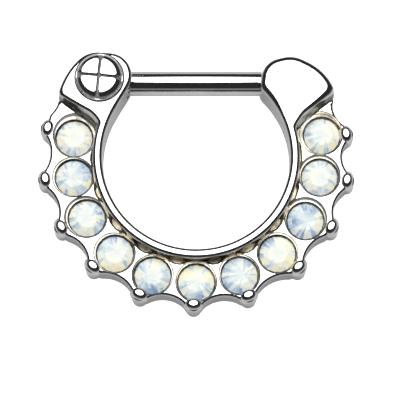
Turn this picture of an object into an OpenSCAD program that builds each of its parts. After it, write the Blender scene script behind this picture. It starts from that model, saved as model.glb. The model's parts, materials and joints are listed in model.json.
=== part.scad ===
// Hinged clicker ring, lying on its flat back with the stones up. Millimetres, +Z up.
// Places in the plane of the ring are given from the centre of its round opening,
// and the whole ring is then moved so that its origin is under the middle of its outline.

/* [Opening and rail] */
// Radius of the round opening
opening_r = 4.5; // [4.44:0.01:4.54]
// Width of the raised rail round the opening
rail_w = 0.46; // [0.4:0.01:0.5]
// Height of the rail over the flat back
rail_h = 2.1; // [1.9:0.05:2.3]
// Rounding of the rail's front edges
rail_round = 0.14; // [0.06:0.01:0.18]

/* [Heads] */
// Thickness of the two heads
head_h = 2.4; // [2.3:0.05:2.6]
// Slope on the front edge of the heads
head_edge = 0.18; // [0.1:0.02:0.24]

/* [Stone plate] */
// Thickness of the plate that carries the stones
plate_h = 1.55; // [1.45:0.05:1.65]
// Depth of the scallops between the bead prongs
scallop_drop = 0.29; // [0.26:0.01:0.31]
// Depth of the pits between the rail and each pair of stones
pit_depth = 0.35; // [0.1:0.05:0.5]

/* [Bead prongs] */
// Half the width of the oval on which the bead prongs stand
bead_oval_x = 7.32; // [7.28:0.01:7.34]
// Half the height of the oval on which the bead prongs stand
bead_oval_y = 7.08; // [7.06:0.01:7.12]
// Radius of a bead prong at the flat back
bead_r = 0.38; // [0.36:0.01:0.4]
// Radius of a bead prong's round top
bead_top_r = 0.32; // [0.29:0.01:0.35]
// Height of a bead prong's round top over the plate
bead_rise = 0.15; // [0.1:0.01:0.3]

/* [Stones] */
// Diameter of a stone
stone_d = 1.72; // [1.6:0.01:1.75]
// Diameter of a stone's flat table
table_d = 0.98; // [0.8:0.02:1.1]
// Height of a stone's crown over its girdle
crown_h = 0.29; // [0.2:0.01:0.34]
// Depth of a stone below its girdle
pavilion_h = 0.7; // [0.6:0.02:0.76]
// Height of a stone's girdle over the flat back
girdle_z = 1.24; // [1.18:0.01:1.28]

/* [Bar] */
// Diameter of the wearing bar, 16 gauge
bar_d = 1.2; // [1.1:0.02:1.2]
// Length of the round bar between the heads
bar_len = 6.1; // [5.8:0.05:6.14]

/* [Hinge screw] */
// Radius of the screw's flange
flange_r = 1.18; // [1.1:0.01:1.19]
// Radius of the screw's domed head
dome_r = 1.04; // [0.9:0.01:1.06]
// Height of the domed head over the ring's head
dome_h = 0.36; // [0.26:0.02:0.4]
// Width of the crossed slots
cross_w = 0.13; // [0.1:0.01:0.2]
// Radius of the screw's plain shank
shank_r = 0.4; // [0.34:0.01:0.42]

/* [Hidden] */
$fn = 96;
// One row a stone, from the left head round to the right head:
// the stone's angle counted from +X, its distance from the centre, and its bead prong's angle
STONES = [
    [170, 5.96, 167.7],
    [188.8, 5.95, 188.2],
    [208.9, 5.98, 208.3],
    [230, 6.03, 227.8],
    [249.9, 6.05, 248.4],
    [270, 6.01, 269],
    [290, 6.03, 289.8],
    [310, 6.03, 311.7],
    [330, 6.03, 331.8],
    [351.5, 5.99, 351.3],
    [370.9, 6.16, 369.8]
];
STONE_COUNT = len(STONES);
function stone_name(i) = str("stone_", i < 10 ? "0" : "", i);

function stone_angle(i) = STONES[i - 1][0];
function stone_out(i) = STONES[i - 1][1];
function bead_angle(i) = STONES[i - 1][2];
function bead_place(i) = [bead_oval_x * cos(bead_angle(i)), bead_oval_y * sin(bead_angle(i)), 0];

// Clearances: under a stone, round a stone, at the bar's eye and tip, at the screw and
// the bar's flat sides, and beside the bar in its swing
stone_gap = 0.03;
seat_gap = 0.07;
running_gap = 0.05;
screw_gap = 0.02;
side_gap = 0.03;

// The hinge axis, which the bar's centre line crosses
hinge_x = -4.65;
hinge_y = 3.8;
bar_z = head_h / 2;

// The bar's eye and tip are flat, so that they fit between the cheeks of the heads
flat_h = bar_d - 2 * screw_gap;
slot_h = bar_d + 2 * screw_gap;
eye_r = 0.9;
tongue_w = 1.1;
tip_w = 0.9;
tip_end_x = 4.3;
open_angle = 110;

// Columns: x, y, radius. Each head is a hull of discs that runs on down to the rail.
left_head = [[-4.22, 3.93, 1.12], [-4.75, 3.8, 1.3], [-5.45, 3.62, 0.9], [-6.32, 3, 0.31]];
right_head = [[4.18, 3.75, 1.07], [4.8, 3.57, 1.3], [5.6, 3.45, 0.8], [6.29, 3.08, 0.31]];
neck_angle = 163;
neck_r = rail_w / 2;
neck_ring_r = opening_r + neck_r;

// Each head steps down to the plate along a cove round its nearest stone.
// Columns: stone, radius of the cove's top edge, bearing in which the cove runs out
COVES = [[1, 1.3, 152], [STONE_COUNT, 1.22, 35]];
cove_run = 1.5;

// The plate beside each head has a shallow scallop. Columns: angle, distance of its bottom
END_SCALLOPS = [[158.2, 7.22], [19, 7.03]];
end_scallop_arc_r = 1.25;

// The plate's own round outline, whose middle lies a little above the centre
plate_r = 7.34;
plate_y = 0.14;
// The plate stops below this line, inside the heads.
plate_top_y = 2.8;

// A scallop is an arc that runs from bead to bead and just misses being tangent to them.
// These give its lowest distance from the centre, and the distance of the arc's own centre.
bead_bite = 0.9 * bead_r;
function bead_out(i) = (norm(bead_place(i)) + norm(bead_place(i + 1))) / 2;
function scallop_r(i) = bead_out(i) - scallop_drop;
function scallop_centre(i) =
    let (low = scallop_r(i) - bead_bite, half = (bead_angle(i + 1) - bead_angle(i)) / 2)
    (pow(bead_out(i), 2) - pow(low, 2)) / (2 * (bead_out(i) * cos(half) - low));

// The pits reach out to this distance, and leave a thin cup wall round each seat.
pit_r = 5.22;
cup_wall = 0.12;

// The outline reaches from the lowest bead to the top of the left head.
outline_low = bead_oval_y + bead_r;
outline_top = left_head[1][1] + left_head[1][2];
centre_y = (outline_low - outline_top) / 2;

seat_r = stone_d / 2 + seat_gap;
girdle_h = 0.05;

// One height over the tallest solid, for cuts that run right through
through = 4;

module at_stone(i) {
    rotate(stone_angle(i)) translate([stone_out(i), 0, 0]) children();
}

module rounded_rail_section() {
    rise = rail_h - rail_round;
    translate([opening_r, 0]) square([rail_w, rise]);
    translate([opening_r + rail_round, 0]) square([rail_w - 2 * rail_round, rail_h]);
    translate([opening_r + rail_round, rise]) circle(rail_round);
    translate([opening_r + rail_w - rail_round, rise]) circle(rail_round);
}

module rail() {
    rotate([0, 0, neck_angle]) rotate_extrude(angle = 540 - 2 * neck_angle) rounded_rail_section();
}

// A disc with a sloped front edge
module pad(place, height) {
    r = place[2];
    translate([place[0], place[1], 0]) {
        cylinder(r = r, h = height - head_edge, $fn = 32);
        cylinder(r = r - head_edge / 2, h = height, $fn = 32);
    }
}

module head(pads, side) {
    neck_end = [side * neck_ring_r * cos(neck_angle), neck_ring_r * sin(neck_angle), neck_r];
    hull() {
        for (place = pads) pad(place, head_h);
        pad(neck_end, rail_h);
    }
}

// The cove between a head and its nearest stone
module cove(row) {
    bearing = row[2];
    hull() {
        for (run = [0, cove_run])
            translate([run * cos(bearing), run * sin(bearing), plate_h])
                at_stone(row[0])
                    cylinder(r1 = seat_r + side_gap, r2 = row[1], h = head_h - plate_h + side_gap, $fn = 48);
    }
}

module plate_outline() {
    difference() {
        intersection() {
            translate([0, plate_y]) circle(plate_r);
            translate([-plate_r, -plate_r]) square([2 * plate_r, plate_r + plate_top_y]);
        }
        circle(neck_ring_r);
        for (i = [1 : STONE_COUNT - 1])
            rotate((bead_angle(i) + bead_angle(i + 1)) / 2)
                translate([scallop_centre(i), 0])
                    circle(scallop_centre(i) - scallop_r(i));
        for (row = END_SCALLOPS)
            rotate(row[0]) translate([row[1] + end_scallop_arc_r, 0]) circle(end_scallop_arc_r);
    }
}

// The seat beside the hinge has a shallow step round its upper side.
module wide_seat() {
    step_depth = 0.12;
    step_w = 0.13;
    shift = 0.1;
    translate([-shift, shift, plate_h - step_depth]) at_stone(1) cylinder(r = seat_r + step_w, h = through);
}

module pits() {
    translate([0, 0, plate_h - pit_depth]) linear_extrude(through) difference() {
        circle(pit_r);
        for (i = [1 : STONE_COUNT])
            rotate(stone_angle(i)) translate([stone_out(i), 0]) circle(seat_r + cup_wall);
    }
}

module bead(i) {
    shoulder = plate_h + bead_rise - bead_top_r;
    translate(bead_place(i)) {
        cylinder(r1 = bead_r, r2 = bead_top_r, h = shoulder);
        translate([0, 0, shoulder]) sphere(bead_top_r);
    }
}

// A straight-sided mouth over a cone that clears the stone's pavilion
module seat(i) {
    floor_z = girdle_z - girdle_h;
    cone_z = floor_z - pavilion_h - 2 * stone_gap;
    at_stone(i) {
        translate([0, 0, floor_z - stone_gap]) cylinder(r = seat_r, h = through);
        translate([0, 0, cone_z])
            cylinder(r1 = 0, r2 = seat_r - stone_gap, h = floor_z - stone_gap - cone_z);
    }
}

// The fork in the left head leaves room for the bar's eye and for the bar's whole swing.
module fork_slot() {
    half = bar_d / 2 + side_gap;
    reach = 3;
    sweep = [
        [0, -half], [reach, -half], [reach, reach], [0, reach],
        [reach * cos(open_angle) - half * sin(open_angle), reach * sin(open_angle) + half * cos(open_angle)],
        [-half * sin(open_angle), half * cos(open_angle)]
    ];
    translate([hinge_x, hinge_y, bar_z - slot_h / 2]) linear_extrude(slot_h) {
        circle(eye_r + running_gap);
        polygon(sweep);
    }
}

// The catch in the right head is open to the ring's inside and to its top.
module catch_slot() {
    start = bar_len / 2 - 0.5;
    low = hinge_y - tip_w / 2 - running_gap;
    translate([start, low, bar_z - slot_h / 2]) cube([tip_end_x + running_gap - start, through, slot_h]);
}

module ring_frame() color("silver") translate([0, centre_y, 0]) difference() {
    union() {
        rail();
        difference() {
            linear_extrude(plate_h) plate_outline();
            pits();
            wide_seat();
        }
        difference() {
            union() {
                head(left_head, 1);
                head(right_head, -1);
            }
            for (row = COVES) cove(row);
            translate([0, 0, -1]) cylinder(r = opening_r, h = through);
        }
        for (i = [1 : STONE_COUNT]) bead(i);
    }
    for (i = [1 : STONE_COUNT]) seat(i);
    fork_slot();
    catch_slot();
    translate([hinge_x, hinge_y, -1]) cylinder(r = shank_r + screw_gap, h = through);
}

module hinge_screw() color("silver") translate([hinge_x, hinge_y + centre_y, 0]) {
    // The shank ends just above the flat back, and the dome's rim is sloped.
    foot = 0.06;
    flange_h = 0.08;
    slot_depth = 0.16;
    slope = 0.12;
    slope_in = 0.17;
    slot_turn = -5;
    base = head_h + screw_gap;
    difference() {
        union() {
            translate([0, 0, foot]) cylinder(r = shank_r, h = base + flange_h - foot);
            translate([0, 0, base]) cylinder(r = flange_r, h = flange_h);
            translate([0, 0, base]) cylinder(r = dome_r, h = dome_h - slope);
            translate([0, 0, base + dome_h - slope]) cylinder(r1 = dome_r, r2 = dome_r - slope_in, h = slope);
        }
        for (turn = [slot_turn, slot_turn + 90])
            rotate(turn)
                translate([-flange_r, -cross_w / 2, base + dome_h - slot_depth])
                    cube([2 * flange_r, cross_w, through]);
    }
}

module bar() color("gainsboro") translate([0, centre_y + hinge_y, bar_z]) {
    flat_z = -flat_h / 2;
    difference() {
        union() {
            translate([-bar_len / 2, 0, 0]) rotate([0, 90, 0]) cylinder(d = bar_d, h = bar_len);
            translate([hinge_x, 0, flat_z]) cylinder(r = eye_r, h = flat_h);
            translate([hinge_x, -tongue_w / 2, flat_z])
                cube([-bar_len / 2 - hinge_x + side_gap, tongue_w, flat_h]);
            translate([bar_len / 2 - side_gap, -tip_w / 2, flat_z])
                cube([tip_end_x - tip_w / 2 - bar_len / 2 + side_gap, tip_w, flat_h]);
            translate([tip_end_x - tip_w / 2, 0, flat_z]) cylinder(d = tip_w, h = flat_h);
        }
        translate([hinge_x, 0, -through / 2]) cylinder(r = shank_r + running_gap, h = through);
    }
}

// A round brilliant cut: a flat table, stars, kites and small facets down to the girdle,
// and kites and small facets again from the girdle to the point below.
module cut_stone() {
    girdle_r = stone_d / 2;
    table_r = table_d / 2;
    // Where the crown's and the pavilion's facets meet, as shares of the girdle
    star_r = 0.76 * girdle_r;
    low_r = 0.4 * girdle_r;
    mid = cos(22.5);
    star_z = crown_h * (girdle_r - star_r * mid) / (girdle_r - table_r);
    low_z = -girdle_h - pavilion_h * (girdle_r - low_r * mid) / girdle_r;
    points = concat(
        [for (k = [0 : 7]) [table_r * cos(45 * k), table_r * sin(45 * k), crown_h]],
        [for (k = [0 : 7]) [star_r * cos(45 * k + 22.5), star_r * sin(45 * k + 22.5), star_z]],
        [for (k = [0 : 15]) [girdle_r * cos(22.5 * k), girdle_r * sin(22.5 * k), 0]],
        [for (k = [0 : 15]) [girdle_r * cos(22.5 * k), girdle_r * sin(22.5 * k), -girdle_h]],
        [for (k = [0 : 7]) [low_r * cos(45 * k + 22.5), low_r * sin(45 * k + 22.5), low_z]],
        [[0, 0, -girdle_h - pavilion_h]]
    );
    // Where each ring of points starts in the list
    star = 8;
    top = 16;
    bottom = 32;
    low = 48;
    culet = 56;
    faces = concat(
        [[for (k = [7 : -1 : 0]) k]],
        [for (k = [0 : 7]) [k, (k + 1) % 8, star + k]],
        [for (k = [0 : 7]) [k, star + k, top + 2 * k, star + (k + 7) % 8]],
        [for (k = [0 : 7]) [star + k, top + 2 * k + 1, top + 2 * k]],
        [for (k = [0 : 7]) [star + k, top + (2 * k + 2) % 16, top + 2 * k + 1]],
        [for (k = [0 : 15]) [top + k, top + (k + 1) % 16, bottom + (k + 1) % 16, bottom + k]],
        [for (k = [0 : 7]) [bottom + 2 * k, bottom + 2 * k + 1, low + k]],
        [for (k = [0 : 7]) [bottom + 2 * k + 1, bottom + (2 * k + 2) % 16, low + k]],
        [for (k = [0 : 7]) [culet, low + (k + 7) % 8, bottom + 2 * k, low + k]]
    );
    polyhedron(points, faces);
}

module stone(i) color("lavender") translate([0, centre_y, girdle_z]) at_stone(i) cut_stone();

ring_frame();
hinge_screw();
bar();
for (i = [1 : STONE_COUNT])
    stone(i);
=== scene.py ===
import json
import math
import random

import bmesh
import bpy
import numpy as np
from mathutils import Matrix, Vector
from mathutils.geometry import delaunay_2d_cdt


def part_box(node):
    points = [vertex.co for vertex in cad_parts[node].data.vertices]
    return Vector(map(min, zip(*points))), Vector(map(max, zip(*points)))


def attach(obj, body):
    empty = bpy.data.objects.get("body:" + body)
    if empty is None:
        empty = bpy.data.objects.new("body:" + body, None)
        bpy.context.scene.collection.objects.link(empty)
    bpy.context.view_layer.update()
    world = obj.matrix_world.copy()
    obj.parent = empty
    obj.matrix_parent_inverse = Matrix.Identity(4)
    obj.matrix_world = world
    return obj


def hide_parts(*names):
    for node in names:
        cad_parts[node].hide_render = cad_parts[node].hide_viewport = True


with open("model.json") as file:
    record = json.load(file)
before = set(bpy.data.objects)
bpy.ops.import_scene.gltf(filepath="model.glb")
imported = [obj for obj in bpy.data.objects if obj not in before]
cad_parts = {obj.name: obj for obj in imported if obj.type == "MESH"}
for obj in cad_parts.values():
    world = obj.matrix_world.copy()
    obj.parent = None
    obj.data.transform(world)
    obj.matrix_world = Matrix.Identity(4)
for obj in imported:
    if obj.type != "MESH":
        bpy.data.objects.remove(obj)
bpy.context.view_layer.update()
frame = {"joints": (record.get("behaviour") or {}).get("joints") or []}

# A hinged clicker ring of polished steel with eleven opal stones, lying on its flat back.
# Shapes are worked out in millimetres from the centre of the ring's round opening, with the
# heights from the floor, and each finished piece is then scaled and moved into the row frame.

MM = 0.001

# Places that the frame gives, in millimetres
HINGE_X, HINGE_Y, BAR_Z = (v / MM for v in frame["joints"][0]["pos_m"])
# How far the bar's axis is from the centre of the opening
BAR_AWAY = 3.8
CENTRE_Y = HINGE_Y - BAR_AWAY
HINGE = np.array([HINGE_X, HINGE_Y - CENTRE_Y])
STONES = [f"stone_{i:02d}" for i in range(1, 12)]


def middle(node):
    """The middle of a CAD node seen from above, from the centre of the opening."""
    low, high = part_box(node)
    return np.array([(low[0] + high[0]) / 2 / MM, (low[1] + high[1]) / 2 / MM - CENTRE_Y])


STONE_AT = [middle(name) for name in STONES]
TOP_OF_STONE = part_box(STONES[0])[1][2] / MM

# Opening and rail
OPENING_R = 4.5
RAIL_OUT_R = 4.96
RAIL_H = 2.1
RAIL_EDGE = 0.15
RAIL_BACK_EDGE = 0.08


def arc_row(centre, radius, start, end, count, small=0.4):
    """Small discs in a row whose outer side is an arc, its angles in degrees."""
    return [
        (centre[0] + (radius - small) * math.cos(a), centre[1] + (radius - small) * math.sin(a), small)
        for a in np.radians(np.linspace(start, end, count))
    ]


# Heads: x, y and radius of the discs that each head's outline goes round
HEAD_H = 2.4
LEFT_EDGE = 0.17
RIGHT_EDGE = 0.26
LEFT_HEAD = [(-4.22, 3.93, 1.12), (-4.75, 3.79, 1.3), (-6.32, 3.0, 0.31)]
LEFT_HEAD += arc_row((-3.0, 2.09), 3.75, 142, 160, 6)
RIGHT_HEAD = [(4.18, 3.75, 1.07), (4.5, 3.47, 1.42), (6.34, 3.04, 0.31)]
RIGHT_HEAD += arc_row((4.21, 2.24), 2.65, 25, 64, 9)
# The right head's lower corner is worn rounder: how much wider its edge is, and over what reach
WORN_CORNER = (6.55, 2.95)
WORN_EDGE = 0.1
WORN_REACH = 0.45
NECK_ANGLE = math.radians(163)
# The rail fades out below this line inside the heads.
RAIL_TOP_Y = 2.9
RAIL_FADE = 1.5
# Between these two lines the necks rise from the rail to the heads.
NECK_LOW = -2.5
NECK_HIGH = 3.2
# The edges grow rounder above this line.
EDGE_LOW = 1.8
# Fillets of the heads with the rail, with the coves and with the opening
RAIL_FILLET = 0.1
COVE_FILLET = 0.35
OPENING_FILLET = 0.15

# Stone plate and bead prongs
PLATE_H = 1.55
PLATE_EDGE = 0.13
PLATE_BACK_EDGE = 0.06
PLATE_R = 7.34
PLATE_IN_R = 4.72
PLATE_Y = 0.14
PLATE_TOP_Y = 2.8
# Cutters end here, a little above the plate.
OVER_PLATE = PLATE_H + 0.02
SCALLOP_DROP = 0.29
# How much of a bead's radius the scallops beside it leave
SCALLOP_SHARE = 0.9
# The shallow scallop beside each head: its angle and the distance of its bottom
END_SCALLOPS = [(158.2, 7.22), (19, 7.03)]
END_SCALLOP_R = 1.25
# Fillets of the plate at its scallops, at its beads and under the heads
SCALLOP_FILLET = 0.05
BEAD_FILLET = 0.16
HEAD_FILLET = 0.25
# How far the plate stays inside the heads' outline
UNDER_HEAD = 0.03
BEAD_ANGLES = [167.7, 188.2, 208.3, 227.8, 248.4, 269, 289.8, 311.7, 331.8, 351.3, 369.8]
BEAD_OVAL = (7.32, 7.08)
BEAD_R = 0.38
BEAD_TOP_R = 0.13
BEAD_SHOULDER = 1.36
BEAD_TOP = 1.7
BEAD_WAIST = 0.9
# How much wider a bead's top is along the ring's edge than across it
BEAD_STRETCH = 1.4

# Stones
STONE_R = 0.86
TABLE_R = 0.49
CROWN_H = 0.29
GIRDLE_H = 0.05
PAVILION_H = 0.7
GIRDLE_Z = TOP_OF_STONE - CROWN_H
# Where the star facets and the lower facets meet, as shares of the radius
STAR_SHARE = 0.76
LOW_SHARE = 0.4

# Seats, with the ledges and the wider steps round them
SEAT_R = 0.93
SEAT_LIP = 0.09
SEAT_GAP = 0.03
LEDGE_Z = 1.47
LEDGE_SLOPE = 0.06
RIM_Z = 1.51
RIM_SLOPE = 0.03

# The cove that each head has round its nearest stone: the stone's place in the row, the
# radius of the cove's top edge, and the bearing in which the cove runs out
COVES = [(0, 1.3, 152), (-1, 1.22, 35)]
COVE_RUN = 1.5
COVE_FOOT_R = SEAT_R + 0.03
COVE_FOOT_Z = PLATE_H - 0.05
# The steps of a cove's slope: how far out and how far up each one is, as shares
COVE_STEPS = [(0.0, 0.1), (0.3, 0.2), (0.36, 0.5), (0.7, 0.6), (0.76, 0.85), (1.0, 1.0)]

# The groove and the pits beside the rail, which are wider at the bottom of the ring than at
# its sides
GROOVE_AT = (0, -0.15)
GROOVE_R = 5.02
GROOVE_FLOOR = 1.4
PIT_R = 5.11
PIT_FLOOR = 1.2
# A pit narrows towards its floor: its share of the full size at each level
PIT_LEVELS = [(0.6, PIT_FLOOR), (0.75, PIT_FLOOR + 0.1), (1, GROOVE_FLOOR), (1, OVER_PLATE)]
CUP_WALL = 0.12

# Hinge fork, catch and bar
SLOT_H = 1.24
FLAT_H = 1.16
EYE_R = 0.9
RUNNING_GAP = 0.05
SWING_GAP = 0.03
OPEN_ANGLE = math.radians(110)
SCREW_BORE_R = 0.42
SHANK_R = 0.4
BAR_R = 0.6
BAR_HALF = 3.05
TIP_END_X = 4.3
TONGUE_HALF = 0.55
TIP_HALF = 0.45

# How finely outlines are walked and tops are filled
OUTLINE_STEP = 0.06
TOP_GRID = 0.14
# Edges that turn by more than this stay crisp.
CRISP_ANGLE = math.radians(38)


# Fields: each gives, for an array of points, how far they lie outside a shape


def disc(p, centre, radius):
    return np.hypot(p[:, 0] - centre[0], p[:, 1] - centre[1]) - radius


BEARINGS = np.array([(math.cos(a), math.sin(a)) for a in np.linspace(0, 2 * math.pi, 720, False)])


def belt(p, discs):
    """The shape that a tight belt round the discs encloses."""
    reach = np.max([BEARINGS @ np.array(d[:2]) + d[2] for d in discs], axis=0)
    return np.max(p @ BEARINGS.T - reach, axis=1)


def joined(a, b, soft):
    """Both shapes together, with a fillet in the corner between them."""
    h = np.maximum(soft - np.abs(a - b), 0) / soft
    return np.minimum(a, b) - h * h * soft / 4


def shared(a, b, soft):
    """What both shapes cover, with rounded corners."""
    return -joined(-a, -b, soft)


def without(a, b, soft):
    """The first shape less the second, with rounded corners."""
    return shared(a, -b, soft)


def measured(field, p):
    """The field and its slope at each point."""
    nudge = 1e-4
    value, right, above = field(np.concatenate([p, p + (nudge, 0), p + (0, nudge)])).reshape(3, -1)
    return value, np.stack([right - value, above - value], 1) / nudge


def settle(field, p, tries=2):
    """Moves points straight to the line on which the field is zero."""
    least_steep = 0.2
    for _ in range(tries):
        value, slope = measured(field, p)
        p = p - slope * (value / np.maximum((slope**2).sum(1), least_steep))[:, None]
    return p


def trace(field, start, step=OUTLINE_STEP, most=4000):
    """Walks once round the closed line on which the field is zero, counter-clockwise."""
    first = settle(field, np.array([start], float), 6)
    points = [first]
    for walked in range(most):
        slope = measured(field, points[-1])[1][0]
        along = np.array([-slope[1], slope[0]]) / np.hypot(*slope)
        p = settle(field, points[-1] + step * along)
        if walked > 4 and np.hypot(*(p - first)[0]) < 0.8 * step:
            break
        points.append(p)
    return np.concatenate(points)


def along_rays(field, core, count=144, reach=2.0):
    """The line on which the field is zero, with one point on each ray from the core."""
    ways = np.array([(math.cos(a), math.sin(a)) for a in np.linspace(0, 2 * math.pi, count, False)])
    near = np.zeros(count)
    far = np.full(count, reach)
    for _ in range(24):
        half = (near + far) / 2
        inside = field(core + ways * half[:, None]) < 0
        near = np.where(inside, half, near)
        far = np.where(inside, far, half)
    return core + ways * near[:, None]


def at_points(value, p):
    """A value that is either a plain number or a function of the place."""
    return np.broadcast_to(value(p) if callable(value) else value, len(p))


def at_level(line, z):
    """A line of points seen from above, put at a height or at a height for each point."""
    return np.column_stack([line, np.broadcast_to(z, len(line))])


def edge_section(bevel=25, outer_arc=0.7, inner_arc=0.3):
    """Section of a top edge as shares of its width: how far in, and how far below the top.
    From the wall it turns over in an arc, slopes up at the bevel's angle, and turns flat."""
    tilt = math.radians(bevel)
    slope = 1 - outer_arc * (1 - math.sin(tilt)) - inner_arc * math.sin(tilt)
    low = inner_arc * (1 - math.cos(tilt)) + slope * math.tan(tilt)
    outer = [
        (outer_arc * (1 - math.sin(a)), low + outer_arc * (math.cos(tilt) - math.cos(a)))
        for a in np.linspace(math.pi / 2, tilt, 7)
    ]
    inner = [(1 - inner_arc * math.sin(a), inner_arc * (1 - math.cos(a))) for a in np.linspace(tilt, 0, 4)]
    return outer + inner


EDGE_SECTION = edge_section()


def rounded_over(field, line, height, edge):
    """Layers that take a wall along the line over into the top. edge is the edge's width."""
    layers = []
    for share, fall in EDGE_SECTION:
        line = settle(lambda p: field(p) + at_points(edge, p) * share, line, 3)
        layers.append(at_level(line, at_points(height, line) - at_points(edge, line) * fall))
    return layers


def rounded_under(field, line, bottom, edge, steps=4):
    """Layers that round the edge between the bottom and a wall along the line."""
    layers = []
    for a in np.radians(np.linspace(90, 0, steps)):
        inner = settle(lambda p: field(p) + edge * (1 - math.cos(a)), line, 3)
        layers.append(at_level(inner, bottom + edge * (1 - math.sin(a))))
    return layers


# Solids


def in_scene(name, data):
    """A new object that shows a mesh, a lamp or a camera."""
    made = bpy.data.objects.new(name, data)
    bpy.context.scene.collection.objects.link(made)
    return made


def solid(name, points, faces):
    """A mesh object from points in millimetres from the centre of the opening."""
    mesh = bpy.data.meshes.new(name)
    moved = (np.asarray(points, float) + (0, CENTRE_Y, 0)) * MM
    mesh.from_pydata(moved.tolist(), [], faces)
    mesh.validate()
    return in_scene(name, mesh)


def grid_over(loop, spacing):
    """Points of a triangular grid over a closed line's box, but for those near the line."""
    low, high = loop.min(0), loop.max(0)
    rows = np.arange(low[1], high[1], spacing * math.sqrt(3) / 2)
    columns = np.arange(low[0], high[0], spacing)
    spots = np.array([(x + spacing / 2 * (k % 2), y) for k, y in enumerate(rows) for x in columns])
    far = np.min(np.hypot(*(spots[:, None] - loop[None, ::2]).transpose(2, 0, 1)), axis=1)
    return spots[far > 0.6 * spacing]


def cap(loop, grid=0.0):
    """Triangles inside a closed line, with extra points on a grid of that spacing.
    Gives the extra points and the triangles, whose corners count the loop's points first."""
    extra = grid_over(loop, grid) if grid else np.zeros((0, 2))
    given = [Vector(p) for p in np.concatenate([loop, extra])]
    inside_only = 1
    found = delaunay_2d_cdt(given, [], [list(range(len(loop)))], inside_only, 1e-7, True)
    _, _, faces, origin, _, owner = found
    index = [ids[0] for ids in origin]
    inside = [[index[v] for v in f] for f, owners in zip(faces, owner) if owners]
    used = sorted({v for f in inside for v in f if v >= len(loop)})
    renumber = {v: len(loop) + k for k, v in enumerate(used)}
    inside = [[renumber.get(v, v) for v in f] for f in inside]
    return np.array([tuple(given[v]) for v in used]).reshape(-1, 2), inside


def stacked(name, layers, height=None, grid=0.0):
    """A closed solid through layers of equal closed lines, each an array of x, y, z points.
    height gives the top's height at any place, for a top that isn't level."""
    count = len(layers[0])
    points = list(np.concatenate(layers))
    faces = []
    for k in range(len(layers) - 1):
        low, high = k * count, (k + 1) * count
        for i in range(count):
            j = (i + 1) % count
            faces.append([low + i, low + j, high + j, high + i])
    _, bottom = cap(layers[0][:, :2])
    faces += [list(reversed(f)) for f in bottom]
    extra, top = cap(layers[-1][:, :2], grid)
    start = len(points)
    base = (len(layers) - 1) * count
    faces += [[base + v if v < count else start + v - count for v in f] for f in top]
    level = np.full(len(extra), layers[-1][0, 2]) if height is None else height(extra)
    points += [(x, y, z) for (x, y), z in zip(extra, level)]
    return solid(name, points, faces)


def turned(name, profile, centre=(0, 0), sides=96, lying=False):
    """A solid turned on an upright axis. The profile runs from the axis at the bottom, out
    and up, to the axis at the top, as rows of radius and height. A lying one has its axis
    along X, and its centre is a place in Y and Z."""
    points = [(*centre, profile[0][1])]
    for radius, z in profile[1:-1]:
        points += [
            (centre[0] + radius * math.cos(a), centre[1] + radius * math.sin(a), z)
            for a in np.linspace(0, 2 * math.pi, sides, False)
        ]
    points.append((*centre, profile[-1][1]))
    if lying:
        points = np.roll(points, 1, axis=1)
    last = len(points) - 1
    faces = []
    for i in range(sides):
        j = (i + 1) % sides
        faces.append([0, 1 + j, 1 + i])
        faces.append([last, last - sides + i, last - sides + j])
        for k in range(len(profile) - 3):
            low, high = 1 + k * sides, 1 + (k + 1) * sides
            faces.append([low + i, low + j, high + j, high + i])
    return solid(name, points, faces)


def arc(centre, radius, start, end, steps):
    """Points of an arc for a profile, the angles in degrees."""
    return [
        (centre[0] + radius * math.cos(math.radians(a)), centre[1] + radius * math.sin(math.radians(a)))
        for a in np.linspace(start, end, steps)
    ]


def slab(name, outline, low, high):
    """A plain solid between two heights."""
    outline = np.array(outline, float)
    return stacked(name, [at_level(outline, z) for z in (low, high)])


def drill(radius):
    """Cutter for the screw's hole, longer than the hinge is high."""
    return turned("bore", [(0, -1), (radius, -1), (radius, 4), (0, 4)], HINGE)


def together(name, parts):
    """Joins solids that don't touch into one object."""
    whole = bmesh.new()
    for part in parts:
        whole.from_mesh(part.data)
        bpy.data.objects.remove(part)
    mesh = bpy.data.meshes.new(name)
    whole.to_mesh(mesh)
    whole.free()
    return in_scene(name, mesh)


def worked(body, tool, way, metal=None):
    """Cuts a tool out of a body, or adds it, and removes the tool. Faces that a cut leaves
    take the metal given."""
    for o in (body, tool):
        if not o.data.materials:
            o.data.materials.append(polished_steel)
    if metal:
        tool.data.materials.clear()
        tool.data.materials.append(metal)
    step = body.modifiers.new("step", "BOOLEAN")
    step.operation = way
    step.solver = "MANIFOLD"
    step.material_mode = "TRANSFER"
    step.object = tool
    made = bpy.data.meshes.new_from_object(body.evaluated_get(bpy.context.evaluated_depsgraph_get()))
    body.modifiers.clear()
    body.data = made
    bpy.data.objects.remove(tool)
    return body


def polished(piece, name, body, *nodes):
    """Finishes a piece: smooth faces with crisp edges, its name, body and CAD nodes."""
    piece.name = name
    piece.data.shade_smooth()
    piece.data.set_sharp_from_angle(angle=CRISP_ANGLE)
    even = piece.modifiers.new("even", "WEIGHTED_NORMAL")
    even.keep_sharp = True
    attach(piece, body)
    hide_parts(*nodes)
    return piece


# Nodes of the finishes


def group(name, inputs, outputs):
    """A node group. inputs are rows of name, kind and value, outputs rows of name and kind."""
    tree = bpy.data.node_groups.new(name, "ShaderNodeTree")
    for label, kind, value in inputs:
        socket = tree.interface.new_socket(label, in_out="INPUT", socket_type=f"NodeSocket{kind}")
        socket.default_value = value
    for label, kind in outputs:
        tree.interface.new_socket(label, in_out="OUTPUT", socket_type=f"NodeSocket{kind}")
    return tree, tree.nodes.new("NodeGroupInput").outputs, tree.nodes.new("NodeGroupOutput").inputs


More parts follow.
